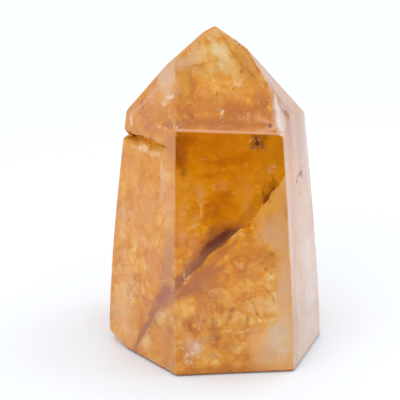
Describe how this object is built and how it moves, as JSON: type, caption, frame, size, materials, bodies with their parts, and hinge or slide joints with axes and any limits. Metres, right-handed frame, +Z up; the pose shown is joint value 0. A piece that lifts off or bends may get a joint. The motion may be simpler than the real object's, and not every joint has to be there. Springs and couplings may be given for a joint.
{
  "type": "quartz obelisk",
  "caption": "Polished golden quartz point that stands on its flat foot, with leaning sides, a faceted tip and an open crevice at one shoulder.",
  "frame": {"origin": "centre of the outline on the flat foot that the stone stands on", "axes": "+Z up along the stone from foot to tip, -Y towards the broad front side"},
  "size_m": [0.0502, 0.047, 0.0752],
  "materials": {
    "golden_quartz": "polished translucent quartz, honey and amber stained, with cloudy veils and an inner fracture"
  },
  "bodies": {
    "root": {"quartz_stone": "golden_quartz"}
  },
  "joints": []
}
